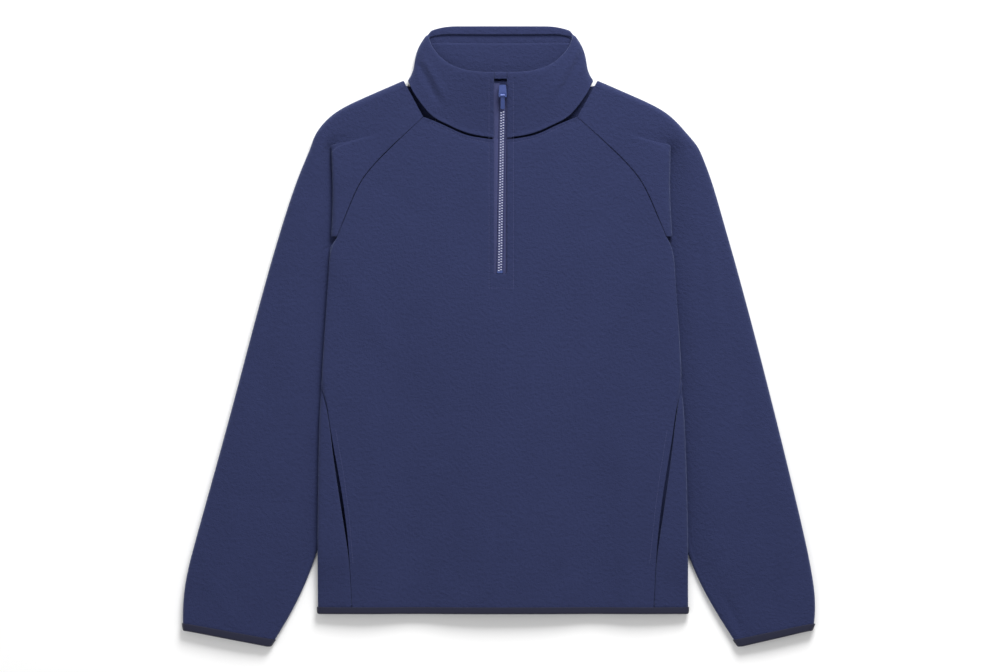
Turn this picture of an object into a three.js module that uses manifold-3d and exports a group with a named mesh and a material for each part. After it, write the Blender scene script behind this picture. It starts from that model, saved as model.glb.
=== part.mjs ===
// Half-zip fleece sweatshirt laid flat on its back, front up, collar towards +Y. Millimetres, +Z up.
// Places on the cloth are given as u (from the centre front, to either side) and v (up from the hem).
import * as THREE from "three";
import { mergeVertices } from "three/addons/utils/BufferGeometryUtils.js";
import Module from "manifold-3d";

const cloth = 2.4;              // thickness of the fleece
const seam = 0.5;               // gap between two panels, measured across the garment
const foldSeam = 1.6;           // more gap for the seam that lies round the side fold
const layerGap = 0.6;           // air between two layers that lie on each other
const binding = 1.0;            // thickness of the stretch binding
const bindingTall = 7;          // how far the binding reaches up from the edge
const foldRoll = 4.2;           // radius of the fold along the side of the body
const valleyRoll = (cloth + layerGap) / 2;
const floorZ = cloth / 2;       // middle of the layer that lies on the floor
const bindingLift = binding + 0.4;
const sleeveUnderZ = floorZ + cloth + 1.0;           // upper layer of the sleeve where the body lies on it
const bodyOverZ = sleeveUnderZ + 2 * valleyRoll;     // back of the body where it lies on the sleeve
const frontZ = 13.5;            // front panel at the middle of the body
const underarm = { u: 118, v: 430 };
const panelTop = 449;           // where the raglan seam meets the side fold
const foldFades = 540;
const foldEnds = 578;
const hemV = 0;
const raglanTop = { low: 575, high: 596.5 };
const zip = { bottom: 408, slotHalf: 7.8, tapeOuter: 12, chainHalf: 3.3, topV: 636 };
const pocket = { low: 65, high: 221, open: 4, depth: 105 };

const bodyEdge = [
  { v: -10, left: 220, right: 226 }, { v: 130, left: 220, right: 225 }, { v: 260, left: 217, right: 220 },
  { v: 425, left: 206, right: 209 }, { v: 500, left: 202, right: 204 }, { v: 578, left: 205, right: 205 },
];
const sleeveOuter = [
  { v: -30, left: 380, right: 371 }, { v: -1, left: 383, right: 380 }, { v: 41, left: 379, right: 376 },
  { v: 89, left: 367, right: 367 }, { v: 185, left: 340, right: 344 }, { v: 281, left: 314, right: 320 },
  { v: 377, left: 289, right: 295 }, { v: 473, left: 261, right: 268 }, { v: 521, left: 245, right: 254 },
  { v: 550, left: 233, right: 243 }, { v: 578, left: 221, right: 230 },
];
const sleeveInner = [
  { v: -45, left: 281, right: 290 }, { v: -19, left: 263, right: 272 }, { v: 17, left: 243, right: 250 },
  { v: 41, left: 232, right: 237 }, { v: 65, left: 222, right: 226 }, { v: 240, left: 174, right: 174 },
  { v: 430, left: 118, right: 118 },
];
const shoulder = [
  { step: 0, u: 224, v: 577 }, { step: 0.3, u: 203, v: 602 }, { step: 0.6, u: 167, v: 619 },
  { step: 1, u: 117, v: 641 },
];
// How far the front edge seam lies in from the side fold, along the cloth.
const frontSeam = [
  { v: -10, inset: 44 }, { v: 65, inset: 40 }, { v: 121, inset: 35 }, { v: 167, inset: 26.5 },
  { v: 221, inset: 15.5 }, { v: 258, inset: 9 }, { v: 300, inset: -8 }, { v: 440, inset: -8 },
  { v: 453, inset: 9.5 }, { v: 469, inset: 15 }, { v: 521, inset: 36 }, { v: 547, inset: 60 },
  { v: 573, inset: 88 }, { v: 597, inset: 115 },
];
const backSeam = [
  { v: -10, u: 176 }, { v: 65, u: 170 }, { v: 250, u: 136 }, { v: 430, u: 95 },
];
const neckFront = [
  { u: 0, v: 570.5 }, { u: 43, v: 577.5 }, { u: 66, v: 589 }, { u: 90.7, v: 599 },
];
const collarFront = [
  { u: 0, v: 647 }, { u: 32, v: 648 }, { u: 53, v: 654 }, { u: 70, v: 664 }, { u: 79, v: 676 }, { u: 87, v: 694 },
];
const collarSide = [
  { h: 0, u: 114 }, { h: 0.15, u: 107 }, { h: 0.45, u: 103.5 }, { h: 0.7, u: 101 }, { h: 1, u: 91 },
];

// A smooth curve through the rows of a table: x and y are column names.
function through(rows, x, y) {
  const slopes = rows.map((row, i) => {
    const a = rows[Math.max(i - 1, 0)];
    const b = rows[Math.min(i + 1, rows.length - 1)];
    return (b[y] - a[y]) / (b[x] - a[x]);
  });
  return (value) => {
    const last = rows.length - 1;
    if (value <= rows[0][x]) return rows[0][y] + slopes[0] * (value - rows[0][x]);
    if (value >= rows[last][x]) return rows[last][y] + slopes[last] * (value - rows[last][x]);
    const i = rows.findIndex((row, k) => k < last && value <= rows[k + 1][x]);
    const width = rows[i + 1][x] - rows[i][x];
    const t = (value - rows[i][x]) / width;
    const near = (1 + 2 * t) * (1 - t) ** 2 * rows[i][y] + t * t * (3 - 2 * t) * rows[i + 1][y];
    return near + width * (t * (1 - t) ** 2 * slopes[i] - t * t * (1 - t) * slopes[i + 1]);
  };
}

const smooth = (t) => {
  const c = Math.min(Math.max(t, 0), 1);
  return c * c * (3 - 2 * c);
};
const mix = (a, b, t) => a + (b - a) * t;
const spread = (a, b, count) => Array.from({ length: count + 1 }, (_, i) => mix(a, b, i / count));

const edgeOf = { left: through(bodyEdge, "v", "left"), right: through(bodyEdge, "v", "right") };
const outerOf = { left: through(sleeveOuter, "v", "left"), right: through(sleeveOuter, "v", "right") };
const innerOf = { left: through(sleeveInner, "v", "left"), right: through(sleeveInner, "v", "right") };
const seamInset = through(frontSeam, "v", "inset");
const backSide = through(backSeam, "v", "u");
const backSeamAt = (v) => (v < underarm.v ? backSide(v) : mix(95, 75, (v - underarm.v) / 199));
const neckAt = through(neckFront, "u", "v");

const hemFloor = (v) => floorZ + bindingLift * (1 - smooth((v - hemV - 8) / 30));

// Height of the back of the body: on the floor, or over the tucked part of the sleeve.
function underZ(side, u, v) {
  const lift = v > underarm.v ? 1 : smooth((u - innerOf[side](v) + 19) / 18);
  return mix(hemFloor(v), bodyOverZ, lift);
}

function topZ(side, u, v) {
  const edge = edgeOf[side](v);
  const edgeTop = underZ(side, edge, v) + 2 * foldRoll;
  const fade = smooth((v - foldFades) / (foldEnds - foldFades));
  return mix(frontZ, mix(edgeTop, frontZ, fade), smooth((u - edge + 70) / 70));
}

// How far round the side fold turns: half a turn, fading out at the shoulder.
const turnAt = (v) => Math.PI * (1 - smooth((v - foldFades) / (foldEnds - foldFades)));

// A place on the cloth of the body, inset from the line of the side fold: positive on the front.
function onBody(side, v, inset) {
  const start = edgeOf[side](v) - cloth / 2 - foldRoll;
  const quarter = foldRoll * Math.PI / 2;
  if (inset >= quarter) {
    const u = start - (inset - quarter);
    return [u, v, topZ(side, u, v)];
  }
  const top = topZ(side, start, v);
  if (inset > -quarter) {
    const angle = Math.PI / 2 - inset / foldRoll;
    return [start + foldRoll * Math.sin(angle), v, top - foldRoll * (1 - Math.cos(angle))];
  }
  const u = start + inset + quarter;
  return [u, v, underZ(side, u, v)];
}

const insetOf = (side, v, u) => edgeOf[side](v) - cloth / 2 - foldRoll + foldRoll * Math.PI / 2 - u;
const underInset = (side, v, u) => u - edgeOf[side](v) + cloth / 2 + foldRoll - foldRoll * Math.PI / 2;

// The direction square to the cloth at each place of a grid, from the live cells round it.
function normalsOf(grid, live) {
  const at = (i, j) => new THREE.Vector3(...grid[i][j]);
  const normals = grid.map((row) => row.map(() => new THREE.Vector3()));
  for (let i = 0; i < grid.length - 1; i += 1) {
    for (let j = 0; j < grid[0].length - 1; j += 1) {
      if (!live(i, j)) continue;
      const across = at(i, j + 1).sub(at(i, j)).add(at(i + 1, j + 1)).sub(at(i + 1, j));
      const along = at(i + 1, j).sub(at(i, j)).add(at(i + 1, j + 1)).sub(at(i, j + 1));
      const normal = across.cross(along).normalize();
      for (const [a, b] of [[i, j], [i + 1, j], [i, j + 1], [i + 1, j + 1]]) normals[a][b].add(normal);
    }
  }
  for (const row of normals) for (const normal of row) normal.normalize();
  return normals;
}

// A wall of the given thickness on a grid of places; null leaves a place out, open(i, j) cuts a cell out.
function wall(name, grid, thick, look, options = {}) {
  const rows = grid.length;
  const cols = grid[0].length;
  const away = options.away || 0;
  const live = (i, j) => i >= 0 && j >= 0 && i < rows - 1 && j < cols - 1
    && grid[i][j] && grid[i + 1][j] && grid[i][j + 1] && grid[i + 1][j + 1]
    && !(options.open && options.open(i, j));
  const at = (i, j) => new THREE.Vector3(...grid[i][j]);
  const normals = normalsOf(grid, live);
  const points = [];
  const ids = new Map();
  const vertex = (i, j, face) => {
    const key = `${i} ${j} ${face}`;
    if (!ids.has(key)) {
      const normal = normals[i][j];
      const point = at(i, j).addScaledVector(normal, away + face * thick / 2);
      ids.set(key, points.length / 3);
      points.push(point.x, point.y, point.z);
    }
    return ids.get(key);
  };
  const faces = [];
  const quad = (a, b, c, d) => faces.push(a, b, c, a, c, d);
  for (let i = 0; i < rows - 1; i += 1) {
    for (let j = 0; j < cols - 1; j += 1) {
      if (!live(i, j)) continue;
      const corners = [[i, j], [i, j + 1], [i + 1, j + 1], [i + 1, j]];
      quad(...corners.map(([a, b]) => vertex(a, b, 1)));
      quad(...corners.map(([a, b]) => vertex(a, b, -1)).reverse());
      const beyond = [[i - 1, j], [i, j + 1], [i + 1, j], [i, j - 1]];
      beyond.forEach(([a, b], k) => {
        if (live(a, b)) return;
        const [p, q] = [corners[k], corners[(k + 1) % 4]];
        quad(vertex(...p, -1), vertex(...q, -1), vertex(...q, 1), vertex(...p, 1));
      });
    }
  }
  return solid(name, points, faces, look);
}

function solid(name, points, faces, look) {
  let volume = 0;
  const corner = (k) => new THREE.Vector3(points[3 * k], points[3 * k + 1], points[3 * k + 2]);
  for (let k = 0; k < faces.length; k += 3) {
    volume += corner(faces[k]).dot(corner(faces[k + 1]).cross(corner(faces[k + 2])));
  }
  if (volume < 0) faces.reverse();
  const geometry = new THREE.BufferGeometry();
  geometry.setAttribute("position", new THREE.Float32BufferAttribute(points, 3));
  geometry.setIndex(faces);
  const mesh = new THREE.Mesh(geometry, look);
  mesh.name = name;
  return mesh;
}

const fleece = new THREE.MeshStandardMaterial({ color: 0x2b3257, roughness: 0.95, metalness: 0 });
const trim = new THREE.MeshStandardMaterial({ color: 0x24294a, roughness: 0.8, metalness: 0 });
const tape = new THREE.MeshStandardMaterial({ color: 0x2a3158, roughness: 0.85, metalness: 0 });
const hard = new THREE.MeshStandardMaterial({ color: 0x2c3a6e, roughness: 0.4, metalness: 0.2 });

const mirrored = { left: -1, right: 1 };
const placed = (side, [u, v, z]) => [mirrored[side] * u, v, z];

const bodyRows = [2, 40, 65, 95, 143, 191, 221, 250, 275, 300, 380];

// Front panel: rows run from the hem up to the neckline, with a slot at the middle for the zip.
function frontGrid() {
  const seamRows = [...bodyRows, zip.bottom, 440, 453, 475, 500, 525, 550, 575, 596.5];
  const middle = [-zip.slotHalf - 8, -zip.slotHalf, zip.slotHalf, zip.slotHalf + 8];
  return seamRows.map((rowV) => {
    const rise = smooth((rowV - 445) / 152);
    const reach = (side) => {
      const inset = seamInset(rowV) + seam / 2;
      const quarter = foldRoll * Math.PI / 2;
      const first = Math.max(inset + 3, quarter);
      const centre = insetOf(side, rowV, zip.slotHalf + 8);
      return [...spread(inset, first, 4).slice(0, -1), ...spread(first, centre, 5).slice(0, -1)];
    };
    const sag = (u, seamU) => {
      const x = Math.min(Math.abs(u) / seamU, 1) * 90.7;
      return rise * (neckAt(x) - 599);
    };
    const half = (side) => {
      const seamU = onBody(side, rowV, seamInset(rowV))[0];
      return reach(side).map((inset) => {
        const [u, , z] = onBody(side, rowV, inset);
        return placed(side, [u, rowV + sag(u, seamU), z]);
      });
    };
    const seamU = onBody("right", rowV, seamInset(rowV))[0];
    const centre = middle.map((u) => [u, rowV + sag(u, seamU), topZ("right", Math.abs(u), rowV)]);
    return [...half("left"), ...centre, ...half("right").reverse()];
  });
}

function sidePanel(side) {
  const grid = [...bodyRows, 402, 418].map((rowV) => {
    const lift = 24 * smooth((rowV - 380) / 38);
    const opening = rowV > pocket.low && rowV < pocket.high
      ? pocket.open * Math.sin(Math.PI * (rowV - pocket.low) / (pocket.high - pocket.low)) : 0;
    const first = seamInset(rowV + lift) - seam / 2 - foldSeam - opening;
    const quarter = foldRoll * Math.PI / 2;
    const last = underInset(side, rowV, backSeamAt(rowV) + seam / 2);
    const folded = Math.min(first - 2, quarter);
    const flat = Math.min(-quarter, folded - 2);
    const onSleeve = Math.min(underInset(side, rowV, innerOf[side](rowV) + 1), flat - 6);
    const foot = Math.min(underInset(side, rowV, innerOf[side](rowV) - 19), onSleeve - 4);
    const rampFoot = Math.max(foot, last + 1);
    const places = [first, ...spread(folded, flat, 4), ...spread(flat, onSleeve, 3).slice(1),
      mix(onSleeve, rampFoot, 0.5), rampFoot, mix(rampFoot, last, 0.5), last];
    return places.map((inset, k) => {
      const fall = Math.min(Math.max((inset - last) / (flat - last), 0), 1);
      return placed(side, onBody(side, rowV + lift * fall, inset));
    });
  });
  return wall(`side_${side}`, grid, cloth, fleece);
}

function backPanel() {
  const rows = [...bodyRows, 402, 418, 432, 500, 570, 629];
  const grid = rows.map((rowV) => spread(-1, 1, 8).map((share) => {
    const u = share * (backSeamAt(rowV) - seam / 2);
    return [u, rowV - 3 * (1 - share * share) * smooth((rowV - 570) / 59), hemFloor(rowV)];
  }));
  return wall("back", grid, cloth, fleece);
}

const cuffFloor = (rowV) => floorZ + bindingLift * (1 - smooth((rowV + 20) / 30));

// Height of the upper layer of a sleeve beside the body.
const sleeveHigh = (rowV) => mix(10.5, 13, smooth((rowV + 20) / 120));

// One crossing of the sleeve, from its front seam round the outer edge to its back seam.
function sleeveRow(side, rowV) {
  const open = rowV >= underarm.v;
  const tilt = open ? 0 : 19 * (1 - smooth((rowV + 28) / 170));
  const outer = [outerOf[side](rowV + tilt / 2), rowV + tilt / 2];
  const inner = open ? null : [innerOf[side](rowV - tilt / 2), rowV - tilt / 2];
  const floor = cuffFloor(rowV);
  const row = [];
  let from;
  let low;
  if (open) {
    const turn = Math.max(turnAt(rowV), 0.12);
    const start = edgeOf[side](rowV) - cloth / 2 - foldRoll;
    const depthEnd = underarm.u + cloth / 2 + valleyRoll;
    const depth = mix(start - depthEnd, 2, smooth((rowV - underarm.v) / (foldFades - 15 - underarm.v)));
    const quarter = foldRoll * Math.PI / 2;
    const reach = (rowV - underarm.v) / (panelTop - underarm.v);
    const top = topZ(side, start, rowV);
    if (rowV >= panelTop) {
      const inset = seamInset(rowV) - seam / 2 - 0.4;
      for (const place of spread(inset, quarter, 3)) row.push(onBody(side, rowV, place));
      for (const angle of spread(0, turn, 4).slice(1)) {
        row.push([start + foldRoll * Math.sin(angle), rowV, top - foldRoll * (1 - Math.cos(angle))]);
      }
    } else {
      row.push(...Array(8).fill(null));
    }
    const begin = [start + foldRoll * Math.sin(turn), top - foldRoll * (1 - Math.cos(turn))];
    const beginShare = rowV >= panelTop ? 0 : Math.min(1 - reach, 0.96);
    const steps = spread(beginShare, 1, 4);
    const under = steps.map((share) => [begin[0] + share * depth * Math.cos(turn), rowV,
      begin[1] - share * depth * Math.sin(turn)]);
    if (rowV >= panelTop) row.push(...under.slice(1));
    else row[7] = under[0], row.push(...under.slice(1));
    const [u, , z] = under[4];
    const centre = [u + valleyRoll * Math.sin(turn), z + valleyRoll * Math.cos(turn)];
    for (const angle of spread(turn, 0, 2).slice(1)) {
      row.push([centre[0] - valleyRoll * Math.sin(angle), rowV, centre[1] - valleyRoll * Math.cos(angle)]);
    }
    from = [centre[0], rowV];
    low = centre[1] - valleyRoll;
  } else {
    row.push(...Array(11).fill(null));
    low = mix(9, sleeveUnderZ, smooth((rowV - 10) / 70));
    const radius = (low - floor) / 2;
    row.push([inner[0] + cloth / 2, inner[1], floor + radius + 0.25]);
    row.push([inner[0] + cloth / 2 + radius * (1 - Math.SQRT1_2), inner[1], floor + radius * (1 + Math.SQRT1_2)]);
    from = [inner[0] + cloth / 2 + radius, inner[1]];
    row.push([from[0], from[1], low]);
  }
  const high = sleeveHigh(rowV);
  const radius = (high - floor) / 2;
  const to = [outer[0] - cloth / 2 - radius, outer[1]];
  const edge = Math.max(edgeOf[side](rowV) - 2, from[0] + 3);
  const rise = Math.min(28, 0.6 * (to[0] - edge));
  for (const u of [mix(from[0], edge, 0.5), edge, edge + rise / 2, edge + rise, mix(edge + rise, to[0], 0.5), to[0]]) {
    const share = (u - from[0]) / (to[0] - from[0]);
    row.push([u, mix(from[1], to[1], share), mix(low, high, smooth((u - edge) / rise))]);
  }
  for (const angle of spread(0, Math.PI, 4).slice(1)) {
    row.push([to[0] + radius * Math.sin(angle), to[1], floor + radius + radius * Math.cos(angle)]);
  }
  const backEnd = open ? [backSeamAt(rowV) + seam / 2, rowV] : [from[0], from[1]];
  for (const share of spread(0, 1, 6).slice(1)) {
    row.push([mix(to[0], backEnd[0], share), mix(to[1], backEnd[1], share), floor]);
  }
  if (!open) {
    const half = (low - floor) / 2;
    row[row.length - 2] = [inner[0] + cloth / 2 + half * (1 - Math.SQRT1_2), inner[1], floor + half * (1 - Math.SQRT1_2)];
    row[row.length - 1] = [inner[0] + cloth / 2, inner[1], floor + half - 0.25];
  }
  return row;
}

const shoulderAt = Object.fromEntries(["u", "v"].map((key) => [key, through(shoulder, "step", key)]));

// Across the shoulder, rows fan from the raglan seam to the outer line of the shoulder.
function shoulderRow(side, step) {
  const [low, high] = [raglanTop.low, raglanTop.high].map((v) => onBody(side, v, seamInset(v) - seam / 2));
  const start = [mix(low[0], high[0], step), mix(raglanTop.low, raglanTop.high, step)];
  const radius = (frontZ - floorZ) / 2;
  const edge = [shoulderAt.u(step), shoulderAt.v(step)];
  const span = Math.hypot(edge[0] - start[0], edge[1] - start[1]);
  const heading = [(edge[0] - start[0]) / span, (edge[1] - start[1]) / span];
  const to = span - cloth / 2 - radius;
  const row = spread(0, to, 19).map((s) => [start[0] + heading[0] * s, start[1] + heading[1] * s, frontZ]);
  for (const angle of spread(0, Math.PI, 4).slice(1)) {
    const s = to + radius * Math.sin(angle);
    row.push([start[0] + heading[0] * s, start[1] + heading[1] * s, floorZ + radius + radius * Math.cos(angle)]);
  }
  const backV = mix(577, 629, step);
  const end = [backSeamAt(backV) + seam / 2, backV];
  const from = [start[0] + heading[0] * to, start[1] + heading[1] * to];
  for (const share of spread(0, 1, 6).slice(1)) {
    row.push([mix(from[0], end[0], share), mix(from[1], end[1], share), floorZ]);
  }
  return row;
}

const sleeveRows = [-28, -20, 10, 41, 80, 170, 260, 350, 416, 432, 442, 453, 475, 500, 525, 550, 562];

function sleeve(side) {
  const rows = sleeveRows.map((rowV) => sleeveRow(side, rowV));
  for (const step of [0, 0.3, 0.6, 1]) rows.push(shoulderRow(side, step));
  return wall(`sleeve_${side}`, rows.map((row) => row.map((p) => p && placed(side, p))), cloth, fleece);
}

const everywhere = () => true;
const moved = ([x, y, z], direction, distance) => [
  x + direction.x * distance, y + direction.y * distance, z + direction.z * distance];

// Collar: h runs from the neckline, 0, to the top edge, 1; x runs from the middle, 0, to the side, 1.
const collarTop = through(collarFront, "u", "v");
const collarReach = through(collarSide, "h", "u");
const neckRise = (640.5 - 597.1) / (116 - 90.7);
const neckLine = (u) => (u < 90.7 ? neckAt(u) - 1.7 : 597.3 + (u - 90.7) * neckRise);
const backNeck = (u) => (u < 75 ? 627 + 3 * (u / 75) ** 2 : 630 + (u - 75) * 0.29);
const backTop = (x) => 703.9 - 9.9 * Math.max(x - 0.86, 0) / 0.14;
const collarZ = { neck: frontZ, rise: 12 };
const collarRoll = (frontZ - floorZ) / 2;
const collarHeights = [0.04, 0.2, 0.4, 0.6, 0.8, 0.9, 1];

function collarPlace(h, part, x) {
  const reach = collarReach(h) - cloth / 2;
  const straight = reach - collarRoll;
  const u = part === "roll" ? straight + collarRoll * Math.sin(x) : x * straight;
  const share = Math.min(u / (reach + cloth / 2), 1);
  const frontV = mix(neckLine(share * 114), collarTop(share * 87), h);
  const backV = mix(backNeck(share * 114), backTop(share), h);
  const front = collarZ.neck + collarZ.rise * h * (1 - (u / straight) ** 2);
  if (part === "front") return [u, frontV, front];
  if (part === "back") return [u, backV, floorZ];
  return [u, mix(frontV, backV, x / Math.PI), floorZ + collarRoll * (1 + Math.cos(x))];
}

function collarGrid(heights, firstU) {
  return heights.map((h) => {
    const firstX = firstU / (collarReach(h) - cloth / 2 - collarRoll);
    const half = [
      ...spread(firstX, 1, 5).map((x) => collarPlace(h, "front", x)),
      ...spread(0, Math.PI, 6).slice(1, -1).map((angle) => collarPlace(h, "roll", angle)),
      ...spread(1, 0, 5).map((x) => collarPlace(h, "back", x)),
    ];
    const left = half.slice(0, -1).map((p) => placed("left", p)).reverse();
    return [...half, ...left];
  });
}

const facingIn = cloth + 0.4;

// The outer collar goes over its top edge in a half turn and a short way down the inside.
function collarOuter() {
  const grid = collarGrid(collarHeights, zip.slotHalf);
  const normals = normalsOf(grid, everywhere);
  const last = grid.length - 1;
  const radius = facingIn / 2;
  for (const angle of [Math.PI / 3, 2 * Math.PI / 3, Math.PI]) {
    grid.push(grid[last].map((place, j) => {
      const along = new THREE.Vector3(...place).sub(new THREE.Vector3(...grid[last - 1][j])).normalize();
      const over = moved(place, along, radius * Math.sin(angle));
      return moved(over, normals[last][j], -radius * (1 - Math.cos(angle)));
    }));
  }
  grid.push(grid[last - 1].map((place, j) => moved(place, normals[last - 1][j], -facingIn)));
  return wall("collar", grid, cloth, fleece);
}

function collarFacing() {
  const grid = collarGrid([0.2, 0.4, 0.6, 0.76], 17);
  return wall("collar_facing", grid, cloth, fleece, { away: -facingIn - 0.4 });
}

// A binding folded round an edge: base holds the edge row and the row that the binding reaches up to.
function edgeBinding(name, base) {
  const normals = normalsOf(base, everywhere);
  const out = cloth / 2 + 0.4 + binding / 2;
  const [low, high] = base;
  const down = low.map((place, j) => new THREE.Vector3(...place).sub(new THREE.Vector3(...high[j])).normalize());
  const turn = (angle) => low.map((place, j) => moved(
    moved(place, down[j], out * Math.sin(angle)), normals[0][j], out * Math.cos(angle)));
  const rows = [
    high.map((place, j) => moved(place, normals[1][j], out)),
    ...[0, Math.PI / 4, Math.PI / 2, 3 * Math.PI / 4, Math.PI].map(turn),
    high.map((place, j) => moved(place, normals[1][j], -out)),
  ];
  return wall(name, rows, binding, trim);
}

function hemBinding() {
  const base = [2, bindingTall + 1].map((v) => {
    const quarter = foldRoll * Math.PI / 2;
    const half = (side) => [
      ...spread(insetOf(side, v, 0), quarter, 5),
      ...spread(quarter, -quarter, 4).slice(1),
      ...spread(-quarter, underInset(side, v, 0.3), 5).slice(1),
    ].map((inset) => placed(side, onBody(side, v, inset)));
    return [...half("left").reverse(), ...half("right").slice(1)];
  });
  return edgeBinding("hem_binding", base);
}

function cuffBinding(side) {
  const base = [-28, -21].map((rowV) => sleeveRow(side, rowV).filter(Boolean).map((p) => placed(side, p)));
  return edgeBinding(`cuff_binding_${side}`, base);
}

// The bag behind each slit lies closed: two layers joined along its inner end.
function pocketBag(side) {
  const rows = [pocket.low - 10, pocket.low + 25, 143, pocket.high - 25, pocket.high + 2];
  const grid = rows.map((v) => {
    const mouth = onBody(side, v, seamInset(v) + 4)[0];
    const inner = mouth - pocket.depth + 0.08 * (v - pocket.low);
    const upper = (u) => topZ(side, u, v) - cloth / 2 - 0.6 - 0.5;
    const lower = (u) => upper(u) - 2.4;
    const end = inner + 2;
    return [
      ...spread(mouth, end, 5).map((u) => [u, v, upper(u)]),
      [end - 1.2, v, upper(end) - 1.2],
      ...spread(end, mouth, 5).map((u) => [u, v, lower(u)]),
    ].map((p) => placed(side, p));
  });
  return wall(`pocket_bag_${side}`, grid, 1, tape);
}

const zipCentre = (v) => -0.8 + 3.4 * (v - 409) / 220;
const zipSlope = collarZ.rise / (collarTop(0) - neckLine(0));
const zipZ = (v) => frontZ + Math.max(v - neckLine(0), 0) * zipSlope;

function zipStrip(name, from, to, inner, outer, drop, thick, look) {
  const stops = [from, ...[440, 500, 560, 570, 600].filter((v) => v > from + 5 && v < to - 5), to];
  const grid = stops.map((v) => spread(inner, outer, 2).map((u) => [zipCentre(v) + u, v, zipZ(v) - drop]));
  return wall(name, grid, thick, look);
}

// A flap of fleece over the top of the zip, rolled over the collar's edge like the collar beside it.
function zipGarage() {
  const half = zip.slotHalf - 0.6;
  const base = [0.93, 1].map((h) => spread(-half, half, 3).map((u) => {
    const [, v, z] = collarPlace(h, "front", 0);
    return [u, v, z];
  }));
  const radius = facingIn / 2;
  const up = new THREE.Vector3(0, 1, zipSlope).normalize();
  const out = new THREE.Vector3(0, -zipSlope, 1).normalize();
  for (const angle of [Math.PI / 3, 2 * Math.PI / 3, Math.PI]) {
    base.push(base[1].map((place) => moved(
      moved(place, up, radius * Math.sin(angle)), out, -radius * (1 - Math.cos(angle)))));
  }
  base.push(base[1].map((place) => moved(moved(place, up, -5), out, -facingIn)));
  return wall("zip_garage", base, cloth, fleece);
}

const pullDroop = 0.24;           // the pull hangs down on to the teeth, radians
const slider = { v: 627, long: 15, wide: 10, thick: 3.6, barY: -5, barZ: 6, barRadius: 0.8 };

function bar(length, radius) {
  return new THREE.CylinderGeometry(radius, radius, length, 12).rotateZ(Math.PI / 2);
}

const kernel = await Module();
kernel.setup();

function toSolid(geometry) {
  const plain = geometry.clone();
  plain.deleteAttribute("normal");
  plain.deleteAttribute("uv");
  const merged = mergeVertices(plain, 1e-4);
  const triVerts = merged.index ? new Uint32Array(merged.index.array) : undefined;
  return new kernel.Manifold(new kernel.Mesh({
    numProp: 3, vertProperties: new Float32Array(merged.attributes.position.array), triVerts,
  }));
}

function fromSolid(name, shape, look) {
  const mesh = shape.getMesh();
  return solid(name, [...mesh.vertProperties], [...mesh.triVerts], look);
}

// Slider: a plate with rounded corners, and two lugs that hold the bar of the pull.
function zipSlider() {
  const outline = new THREE.Shape();
  const [half, end] = [slider.wide / 2, slider.long / 2];
  outline.moveTo(-half + 1.5, -end).lineTo(half - 1.5, -end).quadraticCurveTo(half, -end, half, -end + 2);
  outline.lineTo(half - 0.8, end - 2).quadraticCurveTo(half - 1, end, half - 3, end);
  outline.lineTo(-half + 3, end).quadraticCurveTo(-half + 1, end, -half + 0.8, end - 2);
  outline.lineTo(-half, -end + 2).quadraticCurveTo(-half, -end, -half + 1.5, -end);
  const plate = new THREE.ExtrudeGeometry(outline, { depth: slider.thick, bevelEnabled: false, curveSegments: 3 });
  let shape = toSolid(plate);
  for (const sign of [-1, 1]) {
    const lug = new THREE.BoxGeometry(1, 3.2, 4.4).translate(sign * 3.4, slider.barY, slider.thick + 1.2);
    shape = shape.add(toSolid(lug));
  }
  shape = shape.add(toSolid(bar(7, slider.barRadius).translate(0, slider.barY, slider.barZ)));
  return fromSolid("zip_slider", shape, hard);
}

// Pull: a flat tab with an eye round the slider's bar.
function zipPull() {
  const tab = new THREE.Shape();
  const [half, length] = [2.4, 17];
  tab.moveTo(-half, 2).lineTo(-half, -length + 3).quadraticCurveTo(-half - 0.8, -length, 0, -length);
  tab.quadraticCurveTo(half + 0.8, -length, half, -length + 3).lineTo(half, 2).lineTo(-half, 2);
  const plate = new THREE.ExtrudeGeometry(tab, { depth: 1.4, bevelEnabled: false, curveSegments: 4 });
  const eye = bar(4.8, 2).translate(0, 0, 0);
  const shape = toSolid(plate.translate(0, 0, -0.7)).add(toSolid(eye))
    .subtract(toSolid(bar(8, slider.barRadius + 0.35)));
  return fromSolid("zip_pull", shape, hard);
}

function zipPieces() {
  const seat = new THREE.Group();
  seat.position.set(zipCentre(slider.v), slider.v, zipZ(slider.v) + 0.5);
  seat.rotation.x = Math.atan(zipSlope);
  const pull = zipPull();
  pull.position.set(0, slider.barY, slider.barZ);
  pull.rotation.x = pullDroop;
  seat.add(zipSlider(), pull);
  return [
    zipStrip("zip_tape_left", 396, zip.topV, -zip.tapeOuter, -zip.chainHalf - 0.4, 2.4, 1, tape),
    zipStrip("zip_tape_right", 396, zip.topV, zip.chainHalf + 0.4, zip.tapeOuter, 2.4, 1, tape),
    zipStrip("zip_chain", 413, 634, -zip.chainHalf, zip.chainHalf, 1.2, cloth, trim),
    zipStrip("zip_stop", 408.8, 412.6, -zip.chainHalf, zip.chainHalf, 1, cloth, hard),
    seat, zipGarage(),
  ];
}

const garment = new THREE.Group();
garment.add(wall("front", frontGrid(), cloth, fleece, { open: (i, j) => j === 10 && i >= bodyRows.length }));
garment.add(backPanel(), collarOuter(), collarFacing(), hemBinding(), ...zipPieces());
for (const side of ["left", "right"]) garment.add(sidePanel(side), sleeve(side), cuffBinding(side), pocketBag(side));

// The origin is the middle of the garment's outline, on the floor.
const box = new THREE.Box3().setFromObject(garment, true);
garment.position.set(-(box.min.x + box.max.x) / 2, -(box.min.y + box.max.y) / 2, -box.min.z);

export default garment;
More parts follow.
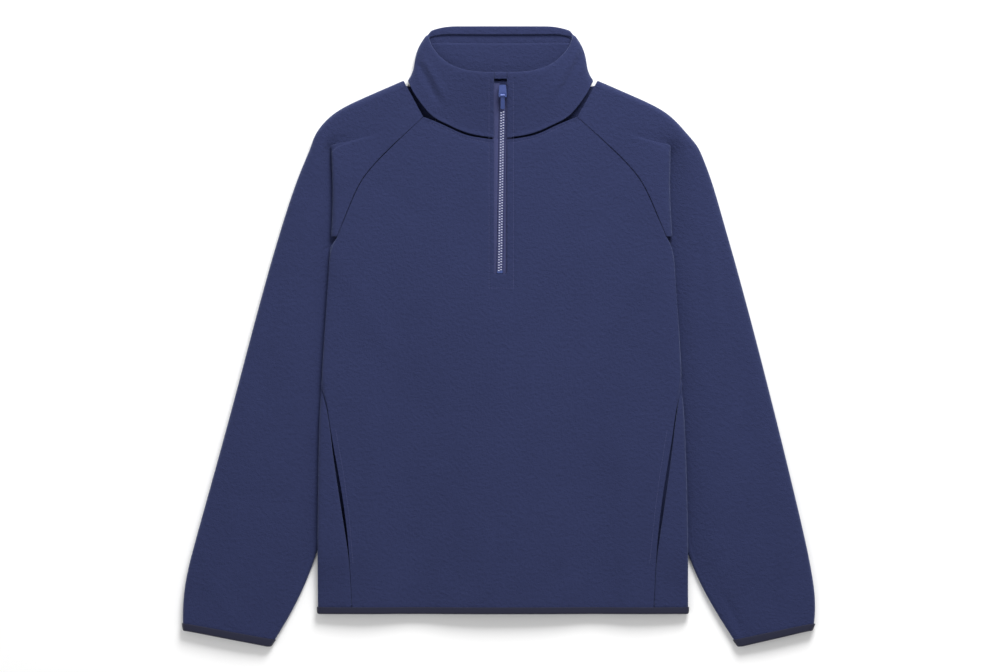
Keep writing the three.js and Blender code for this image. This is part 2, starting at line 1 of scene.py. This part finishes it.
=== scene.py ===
import math
import bmesh
import bpy
import numpy as np
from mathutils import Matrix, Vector


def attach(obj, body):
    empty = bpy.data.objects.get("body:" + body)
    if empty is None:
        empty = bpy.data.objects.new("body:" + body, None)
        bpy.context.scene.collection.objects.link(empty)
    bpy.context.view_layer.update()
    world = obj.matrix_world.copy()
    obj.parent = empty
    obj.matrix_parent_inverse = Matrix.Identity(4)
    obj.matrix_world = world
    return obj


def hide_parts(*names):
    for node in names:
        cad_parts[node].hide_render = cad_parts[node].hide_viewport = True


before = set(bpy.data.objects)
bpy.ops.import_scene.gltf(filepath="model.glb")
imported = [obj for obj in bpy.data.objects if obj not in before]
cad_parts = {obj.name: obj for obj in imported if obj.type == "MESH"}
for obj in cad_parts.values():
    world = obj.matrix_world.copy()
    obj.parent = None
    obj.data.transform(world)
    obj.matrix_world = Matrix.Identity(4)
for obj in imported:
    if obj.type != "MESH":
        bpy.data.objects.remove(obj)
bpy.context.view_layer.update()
mm = 0.001
shiftU = 2.23 * mm      # the centre front in the frame
shiftV = -333.08 * mm   # the hem line in the frame


def place(u, v, z=0.0):  # garment sizes in mm to the frame in metres
    return Vector((u * mm + shiftU, v * mm + shiftV, z * mm))


def smooth(t):
    t = np.clip(t, 0.0, 1.0)
    return t * t * (3 - 2 * t)


# materials
class Val:  # a socket that takes part in arithmetic
    def __init__(self, tree, socket):
        self.tree, self.socket = tree, socket

    def math(self, operation, other=None, flip=False):
        node = self.tree.nodes.new("ShaderNodeMath")
        node.operation = operation
        pair = [self, other] if not flip else [other, self]
        for slot, item in zip(node.inputs, pair):
            if isinstance(item, Val):
                self.tree.links.new(item.socket, slot)
            elif item is not None:
                slot.default_value = item
        return Val(self.tree, node.outputs[0])

    def __add__(self, other):
        return self.math("ADD", other)

    def __radd__(self, other):
        return self.math("ADD", other)

    def __sub__(self, other):
        return self.math("SUBTRACT", other)

    def __rsub__(self, other):
        return self.math("SUBTRACT", other, True)

    def __mul__(self, other):
        return self.math("MULTIPLY", other)

    def __rmul__(self, other):
        return self.math("MULTIPLY", other)


class Finish:  # one material and its nodes
    def __init__(self, name, color, roughness, **fixed):
        self.material = bpy.data.materials.new(name)
        self.material.use_nodes = True
        self.tree = self.material.node_tree
        self.shader = self.tree.nodes["Principled BSDF"]
        self.shader.inputs["Base Color"].default_value = (*color, 1)
        self.shader.inputs["Roughness"].default_value = roughness
        for key, value in fixed.items():
            self.shader.inputs[key.replace("_", " ")].default_value = value
        self.where = self.add("ShaderNodeTexCoord").outputs["Object"]

    def add(self, kind, settings=None, values=None):
        node = self.tree.nodes.new(kind)
        for key, value in (settings or {}).items():
            setattr(node, key, value)
        for key, value in (values or {}).items():
            if isinstance(value, Val):
                value = value.socket
            if isinstance(value, bpy.types.NodeSocket):
                self.tree.links.new(value, node.inputs[key])
            else:
                node.inputs[key].default_value = value
        return node

    def noise(self, scale, detail=3.0, rough=0.5):
        node = self.add("ShaderNodeTexNoise", None,
                        {"Vector": self.where, "Scale": scale, "Detail": detail, "Roughness": rough})
        return Val(self.tree, node.outputs["Fac"])

    def blend(self, factor, dark, light):
        node = self.add("ShaderNodeMix", {"data_type": "RGBA"})
        self.tree.links.new(factor.socket, node.inputs["Factor"])
        node.inputs[6].default_value = (*dark, 1)
        node.inputs[7].default_value = (*light, 1)
        self.tree.links.new(node.outputs[2], self.shader.inputs["Base Color"])

    def bump(self, height, distance, strength=1.0):
        values = {"Height": height, "Distance": distance, "Strength": strength}
        node = self.add("ShaderNodeBump", None, values)
        self.tree.links.new(node.outputs["Normal"], self.shader.inputs["Normal"])


fleeceLook = {
    "dark": (0.0150, 0.0195, 0.058), "light": (0.030, 0.0385, 0.108),
    "pile": 900.0, "tuft": 260.0, "patch": 28.0, "pileDeep": 0.0022,
    "sheen": 0.3, "sheenTint": (0.42, 0.5, 0.85, 1),
}


def fleeceFinish():
    finish = Finish("napped fleece", fleeceLook["dark"], 0.95, Sheen_Weight=fleeceLook["sheen"],
                    Sheen_Roughness=0.45, Specular_IOR_Level=0.15)
    finish.shader.inputs["Sheen Tint"].default_value = fleeceLook["sheenTint"]
    pile = finish.noise(fleeceLook["pile"], 4.0, 0.6)
    tuft = finish.noise(fleeceLook["tuft"], 3.0, 0.55)
    patch = finish.noise(fleeceLook["patch"], 3.0, 0.5)
    finish.blend(pile * 0.45 + tuft * 0.35 + patch * 0.2, fleeceLook["dark"], fleeceLook["light"])
    finish.bump(pile * 0.5 + tuft * 0.8, fleeceLook["pileDeep"], 0.8)
    return finish.material


def clothFinish(name, dark, light, ribs):
    finish = Finish(name, dark, 0.7, Sheen_Weight=0.15, Specular_IOR_Level=0.25)
    wave = finish.add("ShaderNodeTexWave", {"bands_direction": "Y"},
                      {"Vector": finish.where, "Scale": ribs, "Distortion": 0.6, "Detail": 1.0})
    weave = Val(finish.tree, wave.outputs["Fac"])
    finish.blend(weave * 0.6 + finish.noise(1500.0) * 0.4, dark, light)
    finish.bump(weave, 0.0003, 0.5)
    return finish.material


def hardFinish(name, dark, light, roughness, metallic=0.0):
    finish = Finish(name, dark, roughness, Metallic=metallic)
    finish.blend(finish.noise(400.0), dark, light)
    finish.bump(finish.noise(1200.0), 0.0001, 0.4)
    return finish.material


# dark and light tone of each finish
tones = {
    "binding": ((0.0075, 0.0085, 0.026), (0.013, 0.0145, 0.042)),
    "tape": ((0.030, 0.036, 0.110), (0.052, 0.060, 0.165)),
    "thread": ((0.040, 0.048, 0.140), (0.062, 0.074, 0.200)),
    "teeth": ((0.34, 0.36, 0.52), (0.55, 0.57, 0.72)),
    "zip_metal": ((0.035, 0.06, 0.20), (0.06, 0.09, 0.28)),
}
looks = {
    "fleece": fleeceFinish(),
    "binding": clothFinish("stretch binding", *tones["binding"], ribs=700.0),
    "tape": clothFinish("woven zip tape", *tones["tape"], ribs=900.0),
    "thread": clothFinish("sewing thread", *tones["thread"], ribs=2500.0),
    "teeth": hardFinish("zip teeth", *tones["teeth"], roughness=0.35),
    "zip_metal": hardFinish("enamelled zip metal", *tones["zip_metal"], roughness=0.3, metallic=0.3),
}
print("finishes ready")

# cloth
drape = {
    "bandLeft": {"u": -112, "wide": 34, "top": 430, "deep": 4.2},
    "bandRight": {"u": 104, "wide": 30, "top": 350, "deep": 3.6},
    "swell": 1.12, "ripple": 0.5,
}
# troughs and ridges, each given by its start and end, half width and height in mm
creases = [
    {"u0": -200, "v0": 430, "u1": -120, "v1": 300, "half": 14, "high": 1.2},
    {"u0": 190, "v0": 440, "u1": 128, "v1": 330, "half": 13, "high": 1.0},
    {"u0": -60, "v0": 40, "u1": -48, "v1": 180, "half": 12, "high": -1.4},
    {"u0": 40, "v0": 60, "u1": 52, "v1": 260, "half": 14, "high": 1.3},
    {"u0": -160, "v0": 30, "u1": -150, "v1": 240, "half": 13, "high": 1.6},
    {"u0": 150, "v0": 20, "u1": 146, "v1": 230, "half": 13, "high": 1.5},
    {"u0": -20, "v0": 10, "u1": -12, "v1": 120, "half": 10, "high": 1.0},
    {"u0": 62, "v0": 4, "u1": 70, "v1": 60, "half": 7, "high": -0.9},
    {"u0": 84, "v0": 4, "u1": 90, "v1": 46, "half": 6, "high": 0.9},
    {"u0": 100, "v0": 4, "u1": 104, "v1": 38, "half": 5, "high": -0.7},
    {"u0": -150, "v0": 520, "u1": -95, "v1": 470, "half": 12, "high": -0.7},
    {"u0": 150, "v0": 500, "u1": 100, "v1": 452, "half": 12, "high": -0.7},
    {"u0": -262, "v0": 420, "u1": -292, "v1": 250, "half": 11, "high": -1.6},
    {"u0": 250, "v0": 470, "u1": 262, "v1": 330, "half": 8, "high": 1.5},
    {"u0": 285, "v0": 330, "u1": 300, "v1": 180, "half": 12, "high": -1.4},
    {"u0": -300, "v0": 150, "u1": -322, "v1": 40, "half": 10, "high": -1.2},
    {"u0": 320, "v0": 110, "u1": 331, "v1": -8, "half": 8, "high": -1.3},
    {"u0": -345, "v0": 40, "u1": -318, "v1": -18, "half": 7, "high": 0.9},
    {"u0": 268, "v0": 24, "u1": 291, "v1": -24, "half": 5, "high": -1.3},
    {"u0": -99, "v0": 664, "u1": -74, "v1": 614, "half": 5, "high": -2.4},
    {"u0": -92, "v0": 666, "u1": -66, "v1": 616, "half": 5, "high": 1.4},
    {"u0": 102, "v0": 680, "u1": 70, "v1": 620, "half": 5, "high": -1.6},
    {"u0": 95, "v0": 680, "u1": 63, "v1": 622, "half": 5, "high": 1.1},
]


def creaseHeight(u, v, crease):
    du, dv = crease["u1"] - crease["u0"], crease["v1"] - crease["v0"]
    length2 = du * du + dv * dv
    t = ((u - crease["u0"]) * du + (v - crease["v0"]) * dv) / length2
    across = ((u - crease["u0"]) * dv - (v - crease["v0"]) * du) / math.sqrt(length2)
    ends = smooth((t + 0.15) / 0.4) * smooth((1.15 - t) / 0.4)
    return crease["high"] * ends * np.exp(-(across / crease["half"]) ** 2)


def drapeHeight(u, v):
    height = drape["swell"] * np.exp(-(u / 75) ** 2) * smooth((560 - v) / 200)
    for key in ("bandLeft", "bandRight"):
        band = drape[key]
        down = smooth((band["top"] - v) / 200)
        wide = band["wide"] * (0.7 + 0.5 * down)
        across = (u - band["u"] - 0.03 * (300 - v)) / wide
        height = height - band["deep"] * down * np.exp(-across ** 2)
    height = height + drape["ripple"] * np.sin(u / 31 + v / 83) * np.sin(v / 57 - u / 140)
    for crease in creases:
        height = height + creaseHeight(u, v, crease)
    return height


# the neck seam from the centre front to the shoulder: u and v in mm
neckTable = [(0, 568.8), (43, 575.8), (66, 587.3), (91, 597.3), (104, 620), (116, 640)]
neckReach = 118   # half the width of the neck seam
zipCentre = 0.8   # the line that the topstitching is even about


def neckLine(u):
    return np.interp(np.abs(u), [row[0] for row in neckTable], [row[1] for row in neckTable])


def groove(distance, half):
    return np.exp(-(distance / half) ** 2)


def seamProfile(u, v):  # what sewing does to the cloth: a ridge at the neck and troughs at stitches
    across = (v - neckLine(u)) * np.where(np.abs(u) > 88, 0.55, 0.9)
    atNeck = np.abs(u) < neckReach
    ridge = (1.0 * groove(across - 1.5, 3.2) - 0.9 * groove(across + 4.2, 1.6)) * atNeck
    aside = np.abs(u - zipCentre)
    besideZip = smooth((v - 386) / 6) * (v < 650)
    underZip = aside < 15
    return (ridge - 0.7 * groove(aside - 14.6, 1.0) * besideZip
            - 0.7 * groove(v - 391, 1.0) * underZip)


rimCrease = 0.85   # how crisp the rims of the panels stay
rimAngle = 0.9      # a fold sharper than this is a rim, in radians


def softCopy(node, levels, name):  # a finer, rounder copy of a piece
    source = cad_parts[node]
    mesh = source.data.copy()
    mesh.transform(source.matrix_world)
    work = bmesh.new()
    work.from_mesh(mesh)
    bmesh.ops.remove_doubles(work, verts=work.verts, dist=0.00002)
    bmesh.ops.join_triangles(
        work, faces=work.faces, angle_face_threshold=1.2, angle_shape_threshold=3.1,
        cmp_seam=False, cmp_sharp=False, cmp_uvs=False, cmp_vcols=False, cmp_materials=False)
    crease = work.edges.layers.float.new("crease_edge")
    for edge in work.edges:
        if len(edge.link_faces) == 2 and edge.calc_face_angle() > rimAngle:
            edge[crease] = rimCrease
    work.to_mesh(mesh)
    work.free()
    mesh.materials.clear()
    rough = bpy.data.objects.new(name + "Rough", mesh)
    bpy.context.collection.objects.link(rough)
    finer = rough.modifiers.new("finer", "SUBSURF")
    finer.levels = finer.render_levels = levels
    finer.boundary_smooth = "PRESERVE_CORNERS"
    depsgraph = bpy.context.evaluated_depsgraph_get()
    result = bpy.data.meshes.new_from_object(rough.evaluated_get(depsgraph))
    bpy.data.objects.remove(rough)
    piece = bpy.data.objects.new(name, result)
    bpy.context.collection.objects.link(piece)
    for face in result.polygons:
        face.use_smooth = True
    return piece


# the height in mm where the upper layer of each kind of piece begins, and how fast it takes over
upperLayer = {"sleeve": (7.0, 3.5), "front": (9.5, 2.0)}
otherUpper = (9.2, 2.6)


def neckClosing(u, v):  # how far the collar's lower edge comes down on to the neckline, in mm
    near = np.clip(1 - (v - neckLine(u)) / 26, 0, 1)
    return 1.9 * near * near * smooth((neckReach - np.abs(u)) / 4)


def slitClosing(u, v, z):  # how far the side panel moves in to meet the front, in mm
    away = np.abs(u)
    upperEdge = smooth((away - 150) / 10) * smooth((z - 9) / 2) * (1 - smooth((away - 205) / 10))
    closing = 1.7 - 0.2 * smooth((v - 225) / 30)
    return closing * upperEdge * smooth((282 - v) / 20)


def shapeCloth(piece, kind):
    mesh = piece.data
    flat = np.empty(len(mesh.vertices) * 3)
    mesh.vertices.foreach_get("co", flat)
    points = flat.reshape(-1, 3)
    u = (points[:, 0] - shiftU) / mm
    v = (points[:, 1] - shiftV) / mm
    z = points[:, 2] / mm
    start, depth = upperLayer.get(kind, otherUpper)
    if kind == "facing":
        lift = 0
    elif kind == "bag":
        lift = drapeHeight(u, v)
    else:
        lift = smooth((z - start) / depth) * (drapeHeight(u, v) + seamProfile(u, v))
    if kind == "collar":
        points[:, 1] -= neckClosing(u, v) * (z > 6) * mm
    if kind == "side":
        points[:, 0] -= np.sign(u) * slitClosing(u, v, z) * mm
    points[:, 2] += lift * mm
    mesh.vertices.foreach_set("co", points.reshape(-1))
    mesh.update()


# for each sheet: rounds of refining, kind, finish, flat size in m, and area in m2 where it isn't the
# product of the two
clothColumns = ("levels", "kind", "look", "flat", "area")
clothTable = {
    "front": (3, "front", "fleece", (0.44, 0.60), 0.226),
    "back": (2, "back", "fleece", (0.35, 0.63), 0.156),
    "side_left": (2, "side", "fleece", (0.11, 0.45), 0.040),
    "side_right": (2, "side", "fleece", (0.11, 0.45), 0.040),
    "sleeve_left": (3, "sleeve", "fleece", (0.42, 0.69), 0.20),
    "sleeve_right": (3, "sleeve", "fleece", (0.42, 0.69), 0.20),
    "collar": (3, "collar", "fleece", (0.45, 0.11), 0.0345),
    "collar_facing": (2, "facing", "fleece", (0.40, 0.05), 0.0155),
    "pocket_bag_left": (2, "bag", "tape", (0.21, 0.168), 0.0335),
    "pocket_bag_right": (2, "bag", "tape", (0.21, 0.168), 0.0335),
    "zip_garage": (3, "collar", "fleece", (0.0145, 0.0185), 0.00026),
    "hem_binding": (2, "binding", "binding", (0.92, 0.0195), None),
    "cuff_binding_left": (2, "binding", "binding", (0.225, 0.0195), None),
    "cuff_binding_right": (2, "binding", "binding", (0.225, 0.0195), None),
}
clothPieces = {node: dict(zip(clothColumns, row)) for node, row in clothTable.items()}
made = {}
for node, spec in clothPieces.items():
    piece = softCopy(node, spec["levels"], node + "_cloth")
    shapeCloth(piece, spec["kind"])
    piece.data.materials.append(looks[spec["look"]])
    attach(piece, "garment")
    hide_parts(node)
    made[node] = piece
print("cloth ready")

# repeats along a line: stitches and zip teeth


def repeatTree(name):
    tree = bpy.data.node_groups.new(name, "GeometryNodeTree")
    face = tree.interface
    face.new_socket("Geometry", in_out="INPUT", socket_type="NodeSocketGeometry")
    sockets = {}
    for title, kind in (("Spacing", "NodeSocketFloat"), ("Shape", "NodeSocketObject"),
                        ("Finish", "NodeSocketMaterial")):
        sockets[title] = face.new_socket(title, in_out="INPUT", socket_type=kind).identifier
    face.new_socket("Geometry", in_out="OUTPUT", socket_type="NodeSocketGeometry")

    def node(kind):
        return tree.nodes.new(kind)

    start, end = node("NodeGroupInput"), node("NodeGroupOutput")
    curve, resample = node("GeometryNodeMeshToCurve"), node("GeometryNodeResampleCurve")
    resample.mode = "LENGTH"
    points, shape = node("GeometryNodeInstanceOnPoints"), node("GeometryNodeObjectInfo")
    tangent, align = node("GeometryNodeInputTangent"), node("FunctionNodeAlignRotationToVector")
    align.axis = "Y"
    align.pivot_axis = "AUTO"
    realize, paint = node("GeometryNodeRealizeInstances"), node("GeometryNodeSetMaterial")
    link = tree.links.new
    link(start.outputs["Geometry"], curve.inputs["Mesh"])
    link(curve.outputs["Curve"], resample.inputs["Curve"])
    link(start.outputs["Spacing"], resample.inputs["Length"])
    link(resample.outputs["Curve"], points.inputs["Points"])
    link(start.outputs["Shape"], shape.inputs["Object"])
    link(shape.outputs["Geometry"], points.inputs["Instance"])
    link(tangent.outputs["Tangent"], align.inputs["Vector"])
    link(align.outputs["Rotation"], points.inputs["Rotation"])
    link(points.outputs["Instances"], realize.inputs["Geometry"])
    link(realize.outputs["Geometry"], paint.inputs["Geometry"])
    link(start.outputs["Finish"], paint.inputs["Material"])
    link(paint.outputs["Geometry"], end.inputs["Geometry"])
    return tree, sockets


repeat, repeatSockets = repeatTree("repeat along a line")


def smallShape(name, wide, long, high):  # a rounded block of a few faces
    work = bmesh.new()
    bmesh.ops.create_uvsphere(work, u_segments=8, v_segments=5, radius=1.0)
    for vert in work.verts:
        vert.co = Vector((vert.co.x * wide / 2, vert.co.y * long / 2, vert.co.z * high / 2))
    mesh = bpy.data.meshes.new(name)
    work.to_mesh(mesh)
    work.free()
    return bpy.data.objects.new(name, mesh)


def alongLines(name, lines, spacing, shape, look):
    mesh = bpy.data.meshes.new(name + "Path")
    points, edges = [], []
    for line in lines:
        first = len(points)
        points += [tuple(p) for p in line]
        edges += [(first + i, first + i + 1) for i in range(len(line) - 1)]
    mesh.from_pydata(points, edges, [])
    path = bpy.data.objects.new(name + "Path", mesh)
    bpy.context.collection.objects.link(path)
    modifier = path.modifiers.new("repeat", "NODES")
    modifier.node_group = repeat
    modifier[repeatSockets["Spacing"]] = spacing
    modifier[repeatSockets["Shape"]] = shape
    modifier[repeatSockets["Finish"]] = look
    depsgraph = bpy.context.evaluated_depsgraph_get()
    result = bpy.data.meshes.new_from_object(path.evaluated_get(depsgraph))
    bpy.data.objects.remove(path)
    piece = bpy.data.objects.new(name, result)
    bpy.context.collection.objects.link(piece)
    for face in result.polygons:
        face.use_smooth = True
    return piece


wellAbove = 80   # mm, higher than any of the cloth


def onTop(objects, u, v, above):  # a place on the upper side of the cloth
    best = None
    for item in objects:
        hit, spot, _, _ = item.ray_cast(place(u, v, wellAbove), Vector((0, 0, -1)))
        if hit and (best is None or spot.z > best.z):
            best = spot
    if best is None:
        return None
    return best + Vector((0, 0, above * mm))


stitchedPieces = ("front", "collar", "side_left", "side_right", "sleeve_left", "sleeve_right",
                  "hem_binding")


def stitchedLine(stops, above=0.1, step=3.0):
    objects = [made[node] for node in stitchedPieces]
    line = []
    for (u0, v0), (u1, v1) in zip(stops, stops[1:]):
        count = max(int(math.hypot(u1 - u0, v1 - v0) / step), 1)
        for i in range(count):
            t = i / count
            spot = onTop(objects, u0 + (u1 - u0) * t, v0 + (v1 - v0) * t, above)
            if spot is not None:
                line.append(spot)
    return line


bpy.context.view_layer.update()
zipSizes = {"pitch": 3.2, "toothWide": 2.6, "toothLong": 1.5, "toothHigh": 1.5, "rowAside": 1.35,
            "stitchAside": 14.6, "stitchLow": 391, "stitchHigh": 640, "teethTop": 604}
zipLean = {"u": -0.8, "perMm": 3.4 / 220, "fromV": 409}   # the chain leans a little to one side
zipRise = {"z": 13.7, "perMm": 0.1535, "fromV": 569}      # and climbs with the collar
stitchSizes = {"wide": 0.55, "long": 2.2, "high": 0.5, "pitch": 2.9}
pocketLine = {-1: [(-177, 62), (-182, 121), (-188, 167), (-198, 223)],
              1: [(179, 62), (185, 121), (191, 167), (200, 223)]}
neckStitches = [(16, 565.5), (43, 571.3), (66, 581.5), (86, 590.5)]


def boxStitches():  # down one side of the zip, across below it and up the other side
    left = zipCentre - zipSizes["stitchAside"]
    right = zipCentre + zipSizes["stitchAside"]
    low, high = zipSizes["stitchLow"], zipSizes["stitchHigh"]
    return stitchedLine([(left, high), (left, low), (right, low), (right, high)])


stitchLines = [boxStitches()]
for side in (-1, 1):
    stitchLines.append(stitchedLine(pocketLine[side]))
    stitchLines.append(stitchedLine([(side * u, v) for u, v in neckStitches]))
stitch = smallShape("stitchShape", *(stitchSizes[key] * mm for key in ("wide", "long", "high")))
stitches = alongLines("top_stitches", stitchLines, stitchSizes["pitch"] * mm, stitch, looks["thread"])
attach(stitches, "garment")


def teethLine(across, start):
    line = []
    for v in range(start, zipSizes["teethTop"], 3):
        u = zipLean["u"] + zipLean["perMm"] * (v - zipLean["fromV"])
        z = zipRise["z"] + max(v - zipRise["fromV"], 0) * zipRise["perMm"]
        line.append(place(u + across, v, z))
    return line


tooth = smallShape("toothShape", *(zipSizes[key] * mm for key in ("toothWide", "toothLong", "toothHigh")))
teethLines = [teethLine(-zipSizes["rowAside"], 412), teethLine(zipSizes["rowAside"], 413)]
teeth = alongLines("zip_teeth", teethLines, zipSizes["pitch"] * mm, tooth, looks["teeth"])
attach(teeth, "garment")
print("stitches and teeth ready")

zipFinishes = {"zip_tape_left": "tape", "zip_tape_right": "tape", "zip_chain": "tape",
               "zip_stop": "zip_metal", "zip_slider": "zip_metal", "zip_pull": "zip_metal"}
for node, look in zipFinishes.items():
    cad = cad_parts[node]
    cad.data.materials.clear()
    cad.data.materials.append(looks[look])

# floor, light, camera
floorSizes = {"wide": 12, "below": 0.0004}
bpy.ops.mesh.primitive_plane_add(size=floorSizes["wide"], location=(0, 0, -floorSizes["below"]))
floor = bpy.context.object
floor.name = "floor"
floorFinish = Finish("pale floor", (0.93, 0.93, 0.93), 0.9)
floorFinish.blend(floorFinish.noise(3.0), (0.925, 0.925, 0.925), (0.935, 0.935, 0.935))
floor.data.materials.append(floorFinish.material)

roomLight = 0.5
world = bpy.data.worlds.new("soft room")
world.use_nodes = True
world.node_tree.nodes["Background"].inputs["Color"].default_value = (1, 1, 1, 1)
world.node_tree.nodes["Background"].inputs["Strength"].default_value = roomLight
bpy.context.scene.world = world
lamps = {
    "key": {"at": (0.55, 1.9, 1.5), "size": 1.1, "power": 76.0},
    "fill": {"at": (-1.2, -0.6, 2.8), "size": 2.4, "power": 16.0},
}
for name, lamp in lamps.items():
    light = bpy.data.lights.new(name, "AREA")
    light.size = lamp["size"]
    light.energy = lamp["power"]
    holder = bpy.data.objects.new(name, light)
    holder.location = lamp["at"]
    holder.rotation_euler = (-Vector(lamp["at"])).to_track_quat("-Z", "Y").to_euler()
    bpy.context.collection.objects.link(holder)
view = {"sensor": 36, "distance": 4.0, "across": 1.2096, "at": (0.0064, 0.0005, 4.013), "far": 20}
camera = bpy.data.cameras.new("camera")
camera.lens = view["sensor"] * view["distance"] / view["across"]
camera.clip_end = view["far"]
eye = bpy.data.objects.new("camera", camera)
eye.location = view["at"]
bpy.context.collection.objects.link(eye)
bpy.context.scene.camera = eye
bpy.context.scene.view_settings.view_transform = "Standard"

# whether each piece of cloth is laid or folded, worked out and not kept
for node, spec in clothPieces.items():
    held = "laid" if spec["kind"] != "binding" else "folded"
print("scene ready")
